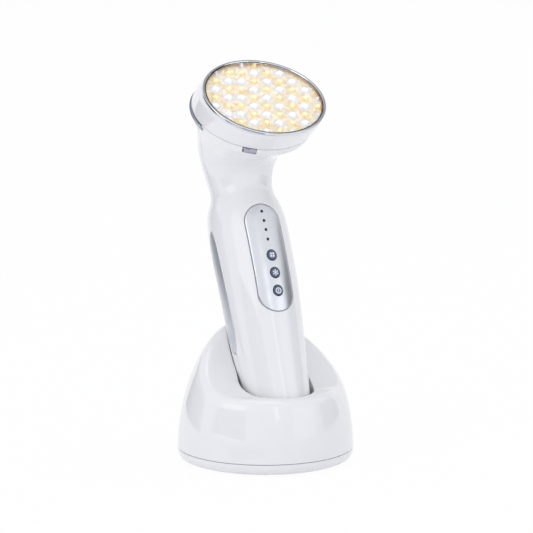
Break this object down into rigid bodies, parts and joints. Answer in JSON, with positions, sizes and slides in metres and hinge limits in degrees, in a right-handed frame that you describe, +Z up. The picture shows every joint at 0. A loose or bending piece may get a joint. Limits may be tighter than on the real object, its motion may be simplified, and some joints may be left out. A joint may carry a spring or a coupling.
{
  "type": "led light therapy wand",
  "caption": "Handheld LED skincare wand with a tilted round light head, button panel and side grips, standing in a domed charging cradle it lifts out of.",
  "frame": {"origin": "centre of the underside of the cradle's non-slip pad, on the table", "axes": "+Z up, the control panel and light face look towards -Y, +X to the right seen from the front"},
  "size_m": [0.0914, 0.1005, 0.2051],
  "materials": {
    "gloss_white": "high gloss moulded white ABS",
    "pad_rubber": "matt non-slip rubber sheet",
    "steel": "zinc plated steel",
    "circuit_board": "glass fibre board with green solder resist",
    "black_plastic": "moulded black plastic",
    "brass": "gold plated contact brass",
    "silver_grip": "satin silver painted plastic inlay",
    "silver_panel": "metallic silver painted panel",
    "smoked_pip": "smoked clear plastic light pips",
    "button_slate": "slate blue moulded buttons with pale icons",
    "battery_wrap": "shrink wrapped lithium cell",
    "led_amber": "white and amber LEDs on a reflecting board",
    "clear_lens": "clear polished window",
    "chrome": "bright chrome plated plastic"
  },
  "bodies": {
    "cradle": {"cradle_shell": "gloss_white", "base_plate": "gloss_white", "non_slip_pad": "pad_rubber", "ballast_weight": "steel", "base_screw_1": "steel", "base_screw_2": "steel", "base_screw_3": "steel", "base_screw_4": "steel", "cradle_board": "circuit_board", "dc_jack": "black_plastic", "jack_pin": "steel", "contact_block": "black_plastic", "pin_barrel_left": "brass", "pin_barrel_right": "brass"},
    "handset": {"front_shell": "gloss_white", "rear_shell": "gloss_white", "side_grip_left": "silver_grip", "side_grip_right": "silver_grip", "control_panel": "silver_panel", "light_guide": "smoked_pip", "mode_switch": "black_plastic", "level_switch": "black_plastic", "power_switch": "black_plastic", "main_board": "circuit_board", "battery": "battery_wrap", "battery_tray": "black_plastic", "shell_screw": "steel", "foot_cap": "gloss_white", "charge_contact_left": "brass", "charge_contact_right": "brass", "head_ring": "gloss_white", "led_board": "led_amber", "lens": "clear_lens", "bezel_ring": "chrome", "trim_ring": "chrome", "head_lead": "black_plastic"},
    "mode_button": {"mode_button": "button_slate"},
    "level_button": {"level_button": "button_slate"},
    "power_button": {"power_button": "button_slate"},
    "contact_pin_left": {"contact_pin_left": "brass"},
    "contact_pin_right": {"contact_pin_right": "brass"}
  },
  "joints": [
    {"name": "handset_lift", "type": "slide", "parent": "cradle", "child": "handset", "axis": [0, 0.4226, 0.9063], "range_m": [0, 0.085]},
    {"name": "mode_press", "type": "slide", "parent": "handset", "child": "mode_button", "axis": [0, 0.9063, -0.4226], "range_m": [0, 0.0004], "stiffness_N_per_m": 900},
    {"name": "level_press", "type": "slide", "parent": "handset", "child": "level_button", "axis": [0, 0.9063, -0.4226], "range_m": [0, 0.0004], "stiffness_N_per_m": 900},
    {"name": "power_press", "type": "slide", "parent": "handset", "child": "power_button", "axis": [0, 0.9063, -0.4226], "range_m": [0, 0.0004], "stiffness_N_per_m": 900},
    {"name": "left_pin_travel", "type": "slide", "parent": "cradle", "child": "contact_pin_left", "axis": [0, -0.4226, -0.9063], "range_m": [0, 0.0008], "stiffness_N_per_m": 400},
    {"name": "right_pin_travel", "type": "slide", "parent": "cradle", "child": "contact_pin_right", "axis": [0, -0.4226, -0.9063], "range_m": [0, 0.0008], "stiffness_N_per_m": 400}
  ]
}
